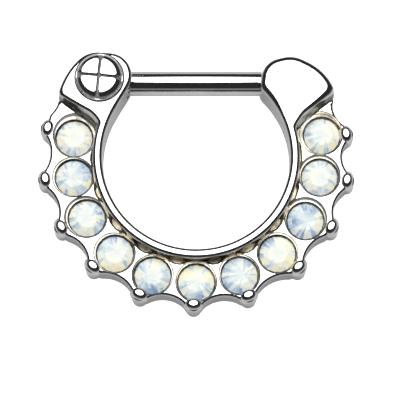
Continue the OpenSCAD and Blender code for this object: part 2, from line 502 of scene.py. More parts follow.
def placed_group(tree, which, **settings):
    """A node group set in a material, with its inputs filled or linked."""
    made = tree.nodes.new("ShaderNodeGroup")
    made.node_tree = which
    for key, value in settings.items():
        if isinstance(value, bpy.types.NodeSocket):
            tree.links.new(value, made.inputs[key])
        else:
            made.inputs[key].default_value = value
    return made.outputs


def node(tree, kind, **settings):
    """A node with its settings. A setting named after a socket fills or links that socket."""
    made = tree.nodes.new(f"ShaderNode{kind}")
    for key, value in settings.items():
        if hasattr(made, key):
            setattr(made, key, value)
    for key, value in settings.items():
        if hasattr(made, key):
            continue
        place = int(key[2:]) if key.startswith("in") and key[2:].isdigit() else key.replace("_", " ")
        socket = made.inputs[place]
        if isinstance(value, bpy.types.NodeSocket):
            tree.links.new(value, socket)
        else:
            socket.default_value = value
    return made


def calc(tree, operation, *values):
    """A sum or other function of plain values."""
    return node(tree, "Math", operation=operation, **{f"in{k}": v for k, v in enumerate(values)}).outputs[0]


def remap(tree, value, low, high, to_low=0.0, to_high=1.0):
    """Runs from to_low to to_high while the value runs from low to high."""
    made = node(tree, "MapRange", Value=value, From_Min=low, From_Max=high, To_Min=to_low, To_Max=to_high)
    return made.outputs[0]


def noise(tree, place, **settings):
    """Cloudy noise at a place."""
    return node(tree, "TexNoise", Vector=place, **settings).outputs["Fac"]


def between(tree, share, a, b):
    """A mix of two plain values."""
    return node(tree, "Mix", data_type="FLOAT", in0=share, in2=a, in3=b).outputs[0]


def blended(tree, share, a, b, way="MIX"):
    """A mix of two colours."""
    return node(tree, "Mix", data_type="RGBA", blend_type=way, in0=share, in6=a, in7=b).outputs[2]


def ramp(tree, factor, stops):
    """A colour ramp. stops are rows of place and colour."""
    made = node(tree, "ValToRGB", Fac=factor)
    colours = made.color_ramp.elements
    while len(colours) < len(stops):
        colours.new(1)
    for element, (place, colour) in zip(colours, stops):
        element.position = place
        element.color = (*colour, 1)
    return made.outputs["Color"]


def finish_of(name):
    """A new material with its tree and its surface node."""
    made = bpy.data.materials.new(name)
    made.use_nodes = True
    return made, made.node_tree, made.node_tree.nodes["Principled BSDF"]


# Finishes


def polishing_marks():
    """Faint waves and hairlines that polishing leaves, and how dull the metal is there."""
    tree, given, out = group(
        "polishing marks",
        [("Place", "Vector", (0, 0, 0)), ("Dull", "Float", 0.1), ("Shine", "Float", 0.04)],
        [("Height", "Float"), ("Roughness", "Float")],
    )
    place = given["Place"]
    waves = noise(tree, place, Scale=900.0, Detail=2.0)
    drawn_out = node(tree, "Mapping", Vector=place, Scale=(400.0, 9000.0, 9000.0)).outputs["Vector"]
    hairs = noise(tree, drawn_out, Scale=1.0, Detail=3.0)
    smudges = noise(tree, place, Scale=350.0, Detail=5.0, Roughness=0.6)
    rough = remap(tree, smudges, 0.35, 0.75, given["Shine"], given["Dull"])
    tree.links.new(between(tree, 0.25, waves, hairs), out["Height"])
    tree.links.new(rough, out["Roughness"])
    return tree


def tarnish():
    """Cloudy patches from a pale to a deep colour: warm stain, and on the darker steels painted shade."""
    tree, given, out = group(
        "tarnish",
        [("Place", "Vector", (0, 0, 0)), ("Pale", "Color", (1, 1, 1, 1)),
         ("Deep", "Color", (0.5, 0.5, 0.5, 1)), ("Scale", "Float", 2000.0)],
        [("Colour", "Color")],
    )
    share = remap(tree, noise(tree, given["Place"], Scale=given["Scale"], Detail=4.0), 0.38, 0.62)
    tree.links.new(blended(tree, share, given["Pale"], given["Deep"]), out["Colour"])
    return tree


MARKS = polishing_marks()
STAIN_AND_SHADE_PATCHES = tarnish()


def steel(name, pale, deep, dull, shine, mark, bare=1.0):
    """Polished steel. pale and deep are its two tones, which on the darker steels are painted shade,
    dull and shine the roughness at its dullest and brightest, mark the depth of the polishing
    marks in metres, and bare how much of it is bare metal, free of stain and painted shade."""
    made, tree, surface = finish_of(name)
    place = node(tree, "TexCoord").outputs["Object"]
    marks = placed_group(tree, MARKS, Place=place, Dull=dull, Shine=shine)
    tone = placed_group(tree, STAIN_AND_SHADE_PATCHES, Place=place, Pale=(*pale, 1), Deep=(*deep, 1), Scale=1500.0)
    bump = node(tree, "Bump", Strength=1.0, Distance=mark, Height=marks["Height"])
    surface.inputs["Metallic"].default_value = bare
    tree.links.new(tone["Colour"], surface.inputs["Base Color"])
    tree.links.new(marks["Roughness"], surface.inputs["Roughness"])
    tree.links.new(bump.outputs["Normal"], surface.inputs["Normal"])
    return made


# The opal's tones, from cream over white to blue
OPAL_TONES = [
    (0.0, (0.98, 0.90, 0.56)),
    (0.3, (0.98, 0.96, 0.78)),
    (0.5, (0.88, 0.92, 0.90)),
    (0.72, (0.56, 0.69, 0.77)),
    (1.0, (0.27, 0.37, 0.60)),
]
# The milk that shows through the table
OPAL_MILK = (0.68, 0.73, 0.70)
# Painted glow that stands in for light the milky glass scatters, so that its shaded side isn't dark
OPAL_PAINTED_GLOW = 0.46
# How far off a stone's middle its rays may meet, as a share of its radius
FOCUS_OFF = 0.25
# How much of the play of colour is painted glints, and how much the facets' own tints
PAINTED_GLINT_SHARE = 0.6
TINT_SHARE = 0.2
# How milky the table is, and the tone that its rays fade to
TABLE_MILK = 0.62
CALM_TONE = 0.46


def ray_angle(tree, cut, stone):
    """The angle round the spot at which a stone's rays meet, a little off its middle."""
    chance = node(tree, "TexWhiteNoise", noise_dimensions="1D", W=stone).outputs["Color"]
    full = (2 * FOCUS_OFF, 2 * FOCUS_OFF, 0)
    least = (-FOCUS_OFF, -FOCUS_OFF, 0)
    focus = node(tree, "VectorMath", operation="MULTIPLY_ADD", in0=chance, in1=full, in2=least)
    about = node(tree, "VectorMath", operation="SUBTRACT", in0=cut, in1=focus.outputs[0])
    around = node(tree, "SeparateXYZ", Vector=about.outputs[0]).outputs
    return calc(tree, "ARCTAN2", around["Y"], around["X"])


def cloudy_rays(tree, cut, angle, height, out_r):
    """Soft clouds in a stone's middle that turn into fine rays towards its edge."""
    sine, cosine = calc(tree, "SINE", angle), calc(tree, "COSINE", angle)
    ray_place = node(tree, "CombineXYZ", X=sine, Y=cosine, Z=height).outputs[0]
    rays = noise(tree, ray_place, Scale=9.0, Detail=3.0, Roughness=0.8)
    clouds = noise(tree, cut, Scale=1.3, Detail=2.0)
    share = remap(tree, out_r, 0.1, 0.9, 0.0, 0.75)
    return remap(tree, between(tree, share, clouds, rays), 0.36, 0.64)


def sector_noise(tree, angle, per_radian, stone):
    """Random numbers that stay the same within each narrow sector of a stone."""
    sector = calc(tree, "FLOOR", calc(tree, "MULTIPLY_ADD", angle, per_radian, stone))
    which = node(tree, "CombineXYZ", X=sector, Y=per_radian, Z=stone)
    return node(tree, "TexWhiteNoise", Vector=which.outputs[0]).outputs


def painted_glint_sectors(tree, angle, out_r, stone):
    """The painted glints that stand in for light which the facets below throw up: wide sectors
    in the middle, which split into narrow ones, each at a distance of its own."""
    uneven = calc(tree, "SINE", calc(tree, "MULTIPLY_ADD", angle, 3.0, stone))
    bent = calc(tree, "MULTIPLY_ADD", uneven, 0.12, angle)
    wide = sector_noise(tree, bent, 1.6, stone)
    narrow = sector_noise(tree, bent, 4.3, stone)
    chance = node(tree, "SeparateColor", Color=narrow["Color"]).outputs["Green"]
    beyond = calc(tree, "GREATER_THAN", out_r, remap(tree, chance, 0.0, 1.0, 0.12, 0.95))
    return between(tree, beyond, wide["Value"], narrow["Value"])


def opal_glass():
    """Milky glass with rays of cream, white and blue and painted glints, which fade under a milkier
    table, and a painted glow. Each facet adds a little tint of its own."""
    made, tree, surface = finish_of("opal_glass")
    cut = node(tree, "Attribute", attribute_name="cut").outputs["Vector"]
    tint = node(tree, "Attribute", attribute_name="tint").outputs["Fac"]
    blue = node(tree, "Attribute", attribute_name="blue").outputs["Fac"]
    apart = node(tree, "SeparateXYZ", Vector=cut).outputs
    flat = node(tree, "CombineXYZ", X=apart["X"], Y=apart["Y"]).outputs["Vector"]
    out_r = node(tree, "VectorMath", operation="LENGTH", in0=flat).outputs["Value"]
    stone = calc(tree, "FLOOR", apart["Z"])
    angle = ray_angle(tree, cut, stone)
    rays = cloudy_rays(tree, cut, angle, apart["Z"], out_r)
    painted_glints = painted_glint_sectors(tree, angle, out_r, stone)
    fire = between(tree, TINT_SHARE, between(tree, PAINTED_GLINT_SHARE, rays, painted_glints), tint)
    milky = remap(tree, out_r, 0.15, 0.75, TABLE_MILK, 0.0)
    calm = between(tree, milky, fire, CALM_TONE)
    tone = calc(tree, "MULTIPLY_ADD", calm, 1.2, calc(tree, "SUBTRACT", blue, 0.1))
    milk = calc(tree, "MULTIPLY", milky, 0.8)
    colour = blended(tree, milk, ramp(tree, tone, OPAL_TONES), (*OPAL_MILK, 1))
    # The body is darker by a share, and the painted glow makes up the rest.
    body = blended(tree, 1.0, colour, (0.7, 0.7, 0.7, 1), "MULTIPLY")
    tree.links.new(body, surface.inputs["Base Color"])
    tree.links.new(colour, surface.inputs["Emission Color"])
    surface.inputs["Emission Strength"].default_value = OPAL_PAINTED_GLOW
    surface.inputs["Roughness"].default_value = 0.05
    surface.inputs["IOR"].default_value = 1.45
    surface.inputs["Specular IOR Level"].default_value = 0.25
    return made


def plain_floor():
    """A plain table top that glows, so that it is seen white. In reflections it is greyer."""
    made, tree, surface = finish_of("plain_floor")
    seen = node(tree, "LightPath").outputs["Is Camera Ray"]
    grain = noise(tree, node(tree, "TexCoord").outputs["Object"], Scale=60.0, Detail=3.0)
    white = ramp(tree, grain, [(0.3, (0.89, 0.89, 0.89)), (0.7, (0.91, 0.91, 0.91))])
    tree.links.new(blended(tree, seen, (0.6, 0.6, 0.6, 1), white), surface.inputs["Base Color"])
    tree.links.new(remap(tree, seen, 0.0, 1.0, 0.24, 1.2), surface.inputs["Emission Strength"])
    surface.inputs["Emission Color"].default_value = (1, 1, 1, 1)
    surface.inputs["Roughness"].default_value = 0.9
    surface.inputs["Specular IOR Level"].default_value = 0.1
    return made


# The outside, the coves' slopes, gaps and steps darkened as painted shade, the ledges, and the pits,
# stained and darkened as painted shade
polished_steel = steel("polished_steel", (0.64, 0.64, 0.65), (0.60, 0.60, 0.61), 0.09, 0.03, 2e-7)
# Darker, rougher steel on the cove slopes and the end stones' ledges: painted shade in the hollows by the
# heads.
worn_steel = steel("worn_steel", (0.44, 0.42, 0.38), (0.13, 0.12, 0.105), 0.3, 0.12, 1e-6, 0.8)
# Darker steel on the seats' walls and lips and on the slots and bore: painted shade in the gaps.
gap_steel = steel("gap_steel", (0.34, 0.32, 0.28), (0.09, 0.08, 0.07), 0.32, 0.15, 1e-6, 0.8)
# Near-black steel on the wider steps and the screw's slot floors: painted shade.
dark_steel = steel("dark_steel", (0.10, 0.10, 0.10), (0.03, 0.03, 0.03), 0.5, 0.3, 1e-6, 0.5)
ledge_steel = steel("ledge_steel", (0.62, 0.59, 0.51), (0.36, 0.33, 0.27), 0.2, 0.1, 5e-7, 0.9)
# Tan steel in the groove, the pits and one wide step: warm stain, darkened as painted shade in these
# recesses.
seat_steel = steel("seat_steel", (0.66, 0.57, 0.40), (0.22, 0.185, 0.13), 0.32, 0.2, 1e-6, 0.5)
opal = opal_glass()


# The ring's casting: rail and heads


def head_share(y, low=NECK_LOW):
    """0 on the rail, 1 on the heads, and smooth in between."""
    t = np.clip((y - low) / (NECK_HIGH - low), 0, 1)
    return t * t * (3 - 2 * t)


def band_height(p):
    return RAIL_H + (HEAD_H - RAIL_H) * head_share(p[:, 1])


def neck_end(side):
    """The disc at the foot of a head's neck, in the middle of the rail."""
    middle_r = (OPENING_R + RAIL_OUT_R) / 2
    place = (side * middle_r * math.cos(NECK_ANGLE), middle_r * math.sin(NECK_ANGLE))
    return (*place, RAIL_OUT_R - middle_r)


def head_plan(p):
    left = belt(p, LEFT_HEAD + [neck_end(1)])
    right = belt(p, RIGHT_HEAD + [neck_end(-1)])
    return np.minimum(left, right)


def band_plan(p, cove_edge):
    """The raised part seen from above. cove_edge gives the radius of each cove."""
    heads = head_plan(p)
    for (stone, _, bearing), radius in zip(COVES, cove_edge):
        run = COVE_RUN * np.array([math.cos(math.radians(bearing)), math.sin(math.radians(bearing))])
        ends = [(*(STONE_AT[stone] + run * k), radius) for k in (0, 1)]
        heads = without(heads, belt(p, ends), COVE_FILLET)
    rail = shared(disc(p, (0, 0), RAIL_OUT_R), p[:, 1] - RAIL_TOP_Y, RAIL_FADE)
    return without(joined(rail, heads, RAIL_FILLET), disc(p, (0, 0), OPENING_R), OPENING_FILLET)


def band_edge(p):
    """Width of the band's edge, from the rail's to each head's."""
    head = np.where(p[:, 0] < 0, LEFT_EDGE, RIGHT_EDGE)
    worn = WORN_EDGE * np.exp(-(((p - WORN_CORNER) / WORN_REACH) ** 2).sum(1))
    return RAIL_EDGE + (head - RAIL_EDGE) * head_share(p[:, 1], EDGE_LOW) + worn


def make_band():
    """Rail and heads in one piece, with rounded edges and a cove sloping to each end stone."""
    def plan(p):
        return band_plan(p, [radius for _, radius, _ in COVES])

    def foot_plan(p):
        return band_plan(p, [COVE_FOOT_R] * 2)

    top = trace(plan, (0, -RAIL_OUT_R))
    foot = settle(foot_plan, top, 6)
    low = np.full(len(foot), COVE_FOOT_Z)
    high = band_height(top) - band_edge(top) * EDGE_SECTION[0][1]
    layers = rounded_under(foot_plan, foot, 0, RAIL_BACK_EDGE)
    first = len(layers) - 1
    for out, up in COVE_STEPS[:-1]:
        layers.append(at_level(foot + (top - foot) * out, low + (high - low) * up))
    layers += rounded_over(plan, top, band_height, band_edge)
    band = stacked("band", layers, band_height, TOP_GRID)
    band.data.materials.append(polished_steel)
    band.data.materials.append(worn_steel)
    # The cove slopes take the darker steel as painted shade.
    sloping = np.flatnonzero(np.hypot(*(foot - top).T) > 0.03)
    for k in range(first, first + len(COVE_STEPS)):
        for i in sloping:
            band.data.polygons[k * len(foot) + int(i)].material_index = 1
    return band


# The ring's casting: stone plate


def bead_at(i):
    """The middle of a bead prong."""
    a = math.radians(BEAD_ANGLES[i])
    return np.array([BEAD_OVAL[0] * math.cos(a), BEAD_OVAL[1] * math.sin(a)])


def scallop(i):
    """Centre and radius of the scallop between two bead prongs."""
    a, b = bead_at(i), bead_at(i + 1)
    out = (np.hypot(*a) + np.hypot(*b)) / 2
    half = math.radians(BEAD_ANGLES[i + 1] - BEAD_ANGLES[i]) / 2
    mid = math.radians(BEAD_ANGLES[i + 1] + BEAD_ANGLES[i]) / 2
    bite = out - SCALLOP_DROP - SCALLOP_SHARE * BEAD_R
    away = (out**2 - bite**2) / (2 * (out * math.cos(half) - bite))
    return (away * math.cos(mid), away * math.sin(mid)), away - (out - SCALLOP_DROP)


def plate_plan(p):
    """The plate seen from above: a disc with its scallops and beads, under the heads too."""
    shape = shared(disc(p, (0, PLATE_Y), PLATE_R), p[:, 1] - PLATE_TOP_Y, 0.1)
    for i in range(len(BEAD_ANGLES) - 1):
        shape = without(shape, disc(p, *scallop(i)), SCALLOP_FILLET)
    for angle, low in END_SCALLOPS:
        away = low + END_SCALLOP_R
        spot = (away * math.cos(math.radians(angle)), away * math.sin(math.radians(angle)))
        shape = without(shape, disc(p, spot, END_SCALLOP_R), SCALLOP_FILLET)
    for i in range(len(BEAD_ANGLES)):
        shape = joined(shape, disc(p, bead_at(i), BEAD_R - 0.02), BEAD_FILLET)
    shape = joined(shape, head_plan(p) + UNDER_HEAD, HEAD_FILLET)
    return without(shape, disc(p, (0, 0), PLATE_IN_R), HEAD_FILLET)


def make_plate():
    outline = trace(plate_plan, (0.0, -7.0), 0.05)
    under = rounded_under(plate_plan, outline, 0, PLATE_BACK_EDGE)
    return stacked("plate", under + rounded_over(plate_plan, outline, PLATE_H, PLATE_EDGE))


def cut_seats(plate):
    """Cuts the eleven seats: a cone, a straight wall and a rounded lip. Neighbours' lips
    meet, so every other seat is cut in a round of its own."""
    floor_z = GIRDLE_Z - GIRDLE_H - SEAT_GAP
    tip_z = floor_z - PAVILION_H - SEAT_GAP
    lip_r = SEAT_R + SEAT_LIP
    lip = arc((lip_r, PLATE_H - SEAT_LIP), SEAT_LIP, 180, 100, 6)
    wall = [(SEAT_R - 0.03, floor_z), (SEAT_R, floor_z + 0.01)]
    profile = [(0, tip_z), *wall, *lip, (lip_r, OVER_PLATE), (0, OVER_PLATE)]
    for first in (0, 1):
        seats = together("seats", [turned("seat", profile, at) for at in STONE_AT[first::2]])
        # The seats' faces take steel darkened as painted shade.
        plate = worked(plate, seats, "DIFFERENCE", gap_steel)
    return plate


# The ledge above each stone: how far it is off the stone's middle, its radius and its metal. The end
# stones' ledges take the coves' painted shade.
LEDGES = [
    ((0.03, 0.1), 0.97, worn_steel),
    ((-0.05, 0.02), 0.93, ledge_steel),
    ((-0.05, 0.02), 0.93, ledge_steel),
    ((-0.05, 0.03), 0.93, ledge_steel),
    ((0.03, 0.04), 0.93, ledge_steel),
    ((0, 0.05), 0.93, ledge_steel),
    ((-0.03, 0.04), 0.93, ledge_steel),
    ((0.02, 0.04), 0.93, ledge_steel),
    ((0, 0.06), 0.94, ledge_steel),
    ((-0.02, 0.05), 0.93, ledge_steel),
    ((-0.09, 0.06), 0.98, worn_steel),
]
# The second, wider step round some of the ledges, in steel darkened as painted shade: the stone's place in
# the row, and the same
RIMS = [
    (0, (0.06, 0.13), 1.07, dark_steel),
    (2, (-0.06, 0.04), 1.0, dark_steel),
    (8, (0, 0.1), 1.01, dark_steel),
    (9, (-0.03, 0.08), 1.0, dark_steel),
    (10, (-0.12, 0.1), 1.07, seat_steel),
]


def ledge(stone, shift, radius, slope, level):
    """Cutter for a shallow round ledge above a stone, a little off the stone's middle.
    slope is the width of its sloping wall."""
    spread = slope * (OVER_PLATE - level) / (PLATE_H - level)
    profile = [(0, level), (radius, level), (radius + spread, OVER_PLATE), (0, OVER_PLATE)]
    return turned("ledge", profile, STONE_AT[stone] + shift)


def cut_ledges(ring):
    """Cuts the wider steps, and then the ledges inside them."""
    for stone, shift, radius, metal in RIMS:
        ring = worked(ring, ledge(stone, shift, radius, RIM_SLOPE, RIM_Z), "DIFFERENCE", metal)
    for stone, (shift, radius, metal) in enumerate(LEDGES):
        ring = worked(ring, ledge(stone, shift, radius, LEDGE_SLOPE, LEDGE_Z), "DIFFERENCE", metal)
    return ring


def pit_plan(p, a, b):
    """The pit between two stones: between the rail and the thin cups round their seats."""
    rail = RAIL_OUT_R - 0.2 - np.hypot(p[:, 0], p[:, 1])
    shape = shared(disc(p, GROOVE_AT, PIT_R), rail, 0.05)
    for stone, side in ((a, 1), (b, -1)):
        past = side * (stone[1] * p[:, 0] - stone[0] * p[:, 1]) / np.hypot(*stone)
        shape = shared(shape, past + 0.12, 0.05)
        shape = without(shape, disc(p, stone, SEAT_R + CUP_WALL), 0.12)
    return shape


def make_pits():
    """Cutters for the pits between the rail and each pair of stones, wider at the top."""
    cutters = []
    for a, b in zip(STONE_AT, STONE_AT[1:]):
        halfway = (a + b) / np.hypot(*(a + b))
        outline = trace(lambda p: pit_plan(p, a, b), halfway * PIT_R + GROOVE_AT, 0.03)
        core = outline.mean(0)
        layers = [at_level(core + (outline - core) * share, level) for share, level in PIT_LEVELS]
        cutters.append(stacked("pit", layers))
    return together("pits", cutters)


def make_groove():
    """Cutter for the shallow groove between the rail and the stones."""
    lip = arc((GROOVE_R + 0.05, PLATE_H - 0.05), 0.05, 180, 100, 5)
    bottom = [(0, GROOVE_FLOOR), (GROOVE_R - 0.04, GROOVE_FLOOR), (GROOVE_R, GROOVE_FLOOR + 0.04)]
    profile = [*bottom, *lip, (GROOVE_R + 0.05, OVER_PLATE), (0, OVER_PLATE)]
    return turned("groove", profile, GROOVE_AT, 240)


# The ring's casting: bead prongs


def make_bead(i):
    """One bead prong, longer along the ring's edge than across it."""
    centre = bead_at(i)
    along = np.array([-centre[1], centre[0]]) / np.hypot(*centre)
    profile = [
        (0, 0), (BEAD_R - 0.06, 0), (BEAD_R, 0.06), (BEAD_R - 0.01, BEAD_SHOULDER - 0.1),
        (BEAD_R - 0.03, BEAD_SHOULDER), (BEAD_R - 0.06, BEAD_SHOULDER + 0.05),
        (BEAD_TOP_R + 0.13, BEAD_TOP - 0.1), (BEAD_TOP_R + 0.1, BEAD_TOP - 0.06),
        (BEAD_TOP_R + 0.03, BEAD_TOP - 0.02), (BEAD_TOP_R, BEAD_TOP - 0.01),
        (BEAD_TOP_R * 0.6, BEAD_TOP - 0.004), (0, BEAD_TOP),
    ]
    bead = turned("bead", profile, centre, 48)
    origin = np.array([centre[0], centre[1] + CENTRE_Y]) * MM
    for point in bead.data.vertices:
        share = min(max((point.co.z / MM - BEAD_WAIST) / (BEAD_SHOULDER - BEAD_WAIST), 0), 1)
        off = np.array(point.co[:2]) - origin
        shift = along * (off @ along) * (BEAD_STRETCH - 1) * share
        point.co.x += shift[0]
        point.co.y += shift[1]
    return bead


def make_beads():
    """The bead prongs, each trimmed so that it clears its stone and leans a little over it."""
    beads = together("beads", [make_bead(i) for i in range(len(BEAD_ANGLES))])
    crown_slope = (STONE_R - TABLE_R) / CROWN_H
    top_z = BEAD_TOP + 0.1
    side_r = SEAT_R - 0.02
    lean_r = side_r - (top_z - GIRDLE_Z - 0.05) * crown_slope * 0.5
    clear = [(0, 0.3), (side_r, 0.3), (side_r, GIRDLE_Z + 0.05), (lean_r, top_z), (0, top_z)]
    return worked(beads, together("clear", [turned("clear", clear, at) for at in STONE_AT]), "DIFFERENCE")


# The ring's casting: hinge fork, catch and the whole


def fork_slot(low, high):
    """Cutter for the fork's slot: all that the bar's root sweeps while it swings open."""
    half = BAR_R + SWING_GAP
    reach = 3.0
    c, s = math.cos(OPEN_ANGLE), math.sin(OPEN_ANGLE)
    shut = [(0, -half), (reach, -half)]
    corner = [(reach, reach), (0, reach)]
    opened = [(reach * c - half * s, reach * s + half * c), (-half * s, half * c)]
    return slab("sweep", HINGE + np.array(shut + corner + opened), low, high)


def catch_slot(low, high):
    """Cutter for the catch's slot, which the tip swings into."""
    start = BAR_HALF - 0.5
    end = TIP_END_X + RUNNING_GAP
    shelf = HINGE[1] - TIP_HALF - RUNNING_GAP
    past_head = 6
    return slab("catch", [(start, shelf), (end, shelf), (end, past_head), (start, past_head)], low, high)


def make_ring():
    ring = cut_ledges(cut_seats(make_plate()))
    # The groove and the pits take tan steel, stained and darkened as painted shade.
    ring = worked(ring, make_groove(), "DIFFERENCE", seat_steel)
    ring = worked(ring, make_pits(), "DIFFERENCE", seat_steel)
    ring = worked(ring, make_band(), "UNION")
    ring = worked(ring, make_beads(), "UNION")
    low, high = BAR_Z - SLOT_H / 2, BAR_Z + SLOT_H / 2
    eye_r = EYE_R + RUNNING_GAP
    eye = turned("eye", [(0, low), (eye_r, low), (eye_r, high), (0, high)], HINGE)
    # The slots, the eye and the bore take steel darkened as painted shade.
    for cutter in (fork_slot(low, high), eye, catch_slot(low, high), drill(SCREW_BORE_R)):
        ring = worked(ring, cutter, "DIFFERENCE", gap_steel)
    return ring


ring = polished(make_ring(), "dressed_ring", "ring", "ring_frame")


# The hinge screw

FLANGE_R = 1.21
DOME_R = 1.12
DOME_EDGE = 0.28
SHANK_END = 0.06
SCREW_BASE = 2.42
FLANGE_TOP = 2.5
SLOT_FLOOR = 2.62
DOME_TOP = 2.78
# How far the dome falls at 1 mm from its middle
DOME_FALL = 0.05
SLOT_HALF = 0.045
SLOT_TURN = -5
# The polished faces sit a little off the middle, so the rim is wider at the lower right.
FACE_SHIFT = (-0.025, 0.025)


def quadrant_line(turn, side, radius):
    """Outline of a quarter of the screw's dome, side away from the middle of the slots."""
    c, s = math.cos(turn), math.sin(turn)

    def plan(p):
        x = (p[:, 0] - HINGE[0]) * c + (p[:, 1] - HINGE[1]) * s
        y = (p[:, 1] - HINGE[1]) * c - (p[:, 0] - HINGE[0]) * s
        return shared(shared(side - x, side - y, 0.08), np.hypot(x, y) - radius, 0.15)

    a = turn + math.pi / 4
    return along_rays(plan, HINGE + 0.5 * np.array([math.cos(a), math.sin(a)]))


def dome_height(p):
    return DOME_TOP - DOME_FALL * ((p - HINGE) ** 2).sum(1)


def make_quadrant(turn):
    """One pillow-like quarter of the dome."""
    outline = quadrant_line(turn, SLOT_HALF, DOME_R)
    face = quadrant_line(turn, SLOT_HALF + 0.03, DOME_R - DOME_EDGE) + FACE_SHIFT
    layers = [at_level(outline, SCREW_BASE + 0.05)]
    for share, fall in EDGE_SECTION:
        line = outline + (face - outline) * share
        layers.append(at_level(line, dome_height(line) - DOME_EDGE * fall))
    return stacked("quadrant", layers, dome_height, 0.08)


def make_screw():
    """Shank, flange and the four quarters of the dome. The floor of the slots is painted near-black as
    shade.
    """
    shank = [(0, SHANK_END), (SHANK_R - 0.03, SHANK_END), (SHANK_R, 0.09), (SHANK_R, SCREW_BASE)]
    flange = [
        (FLANGE_R - 0.01, SCREW_BASE), (FLANGE_R, SCREW_BASE + 0.01),
        (FLANGE_R - 0.035, SCREW_BASE + 0.03), (FLANGE_R - 0.09, FLANGE_TOP),
    ]
    core = [
        (DOME_R - 0.03, FLANGE_TOP), (DOME_R - 0.05, SLOT_FLOOR - 0.03),
        (DOME_R - 0.08, SLOT_FLOOR), (0, SLOT_FLOOR),
    ]
    screw = turned("screw", shank + flange + core, HINGE)
    for k in range(4):
        screw = worked(screw, make_quadrant(math.radians(SLOT_TURN + 90 * k)), "UNION")
    # The slots' floors take near-black steel as painted shade.
    screw.data.materials.append(dark_steel)
    for face in screw.data.polygons:
        if abs(face.center.z / MM - SLOT_FLOOR) < 0.001:
            face.material_index = len(screw.data.materials) - 1
    return screw


screw = polished(make_screw(), "dressed_screw", "ring", "hinge_screw")


# The bar

ROUND_START = -3.25
ROUND_END = 3.18
BAR_EDGE = 0.05
EYE_EDGE = 0.12
BORE_R = 0.45


def strip(p, start, end, half):
    """A straight strip along the bar."""
    middle_x = (start + end) / 2
    return shared(np.abs(p[:, 0] - middle_x) - (end - start) / 2, np.abs(p[:, 1] - HINGE[1]) - half, 0.3)


def eye_plan(p):
    tongue = strip(p, HINGE[0], ROUND_START + 0.1, TONGUE_HALF - 0.02)
    return joined(disc(p, HINGE, EYE_R), tongue, 0.1)


def tip_plan(p):
    end = disc(p, (TIP_END_X - TIP_HALF, HINGE[1]), TIP_HALF)
    return np.minimum(end, strip(p, ROUND_END - 0.1, TIP_END_X - TIP_HALF, TIP_HALF))


def flat_part(name, plan, start):
    """A flat part of the bar with rounded edges."""
    outline = trace(plan, start, 0.05)
    low, high = BAR_Z - FLAT_H / 2, BAR_Z + FLAT_H / 2
    over = rounded_over(plan, outline, high, EYE_EDGE)
    return stacked(name, rounded_under(plan, outline, low, EYE_EDGE) + over)


def make_bar():
    """The round bar, with the flat eye and the flat tip added and the eye drilled."""
    edge_r = BAR_R - BAR_EDGE
    run = [(0, ROUND_START), *arc((edge_r, ROUND_START + BAR_EDGE), BAR_EDGE, -90, 0, 4)]
    run += [*arc((edge_r, ROUND_END - BAR_EDGE), BAR_EDGE, 0, 90, 4), (0, ROUND_END)]
    bar = turned("run", run, (HINGE[1], BAR_Z), 96, True)
    bar = worked(bar, flat_part("eye", eye_plan, HINGE - (EYE_R, 0)), "UNION")
    bar = worked(bar, flat_part("tip", tip_plan, (TIP_END_X, HINGE[1])), "UNION")
    return worked(bar, drill(BORE_R), "DIFFERENCE")


bar = polished(make_bar(), "dressed_bar", "bar", "bar")


# Stones


def round_row(count, radius, z, shift=0.0):
    """Corners evenly round a circle. shift turns them by that share of a step."""
    turns = [2 * math.pi * (k + shift) / count for k in range(count)]
    return [(radius * math.cos(a), radius * math.sin(a), z) for a in turns]


def stone_corners():
    """Corners of a round brilliant cut, from the table down, its girdle's top at height 0."""
    star_r, low_r = STAR_SHARE * STONE_R, LOW_SHARE * STONE_R
    mid = math.cos(math.pi / 8)
    star_z = CROWN_H * (STONE_R - star_r * mid) / (STONE_R - TABLE_R)
    low_z = -GIRDLE_H - PAVILION_H * (STONE_R - low_r * mid) / STONE_R
    crown = round_row(8, TABLE_R, CROWN_H) + round_row(8, star_r, star_z, 0.5)
    girdle = round_row(16, STONE_R, 0) + round_row(16, STONE_R, -GIRDLE_H)
    return crown + girdle + round_row(8, low_r, low_z, 0.5) + [(0, 0, -GIRDLE_H - PAVILION_H)]


def stone_facets():
    """The facets between those corners: the table first, then crown, pavilion and girdle."""
    star, top, bottom, low, culet = 8, 16, 32, 48, 56
    faces = [list(range(8))]
    for k in range(8):
        n = (k + 1) % 8
        before = (k + 7) % 8
        faces += [
            [k, star + k, n],
            [k, star + before, top + 2 * k, star + k],
            [star + k, top + 2 * k, top + 2 * k + 1],
            [star + k, top + 2 * k + 1, top + (2 * k + 2) % 16],
            [bottom + 2 * k, low + k, bottom + 2 * k + 1],
            [bottom + 2 * k + 1, low + k, bottom + (2 * k + 2) % 16],
            [culet, low + k, bottom + 2 * k, low + before],
        ]
    for k in range(16):
        n = (k + 1) % 16
        faces.append([top + k, bottom + k, bottom + n, top + n])
    return faces


CORNERS = stone_corners()
FACETS = stone_facets()


def attribute(mesh, name, kind, values, domain="POINT"):
    """Values that a mesh holds for its finish, one for each corner or face."""
    made = mesh.attributes.new(name, kind, domain)
    field = "vector" if kind == "FLOAT_VECTOR" else "value"
    for item, value in zip(made.data, values):
        setattr(item, field, value)


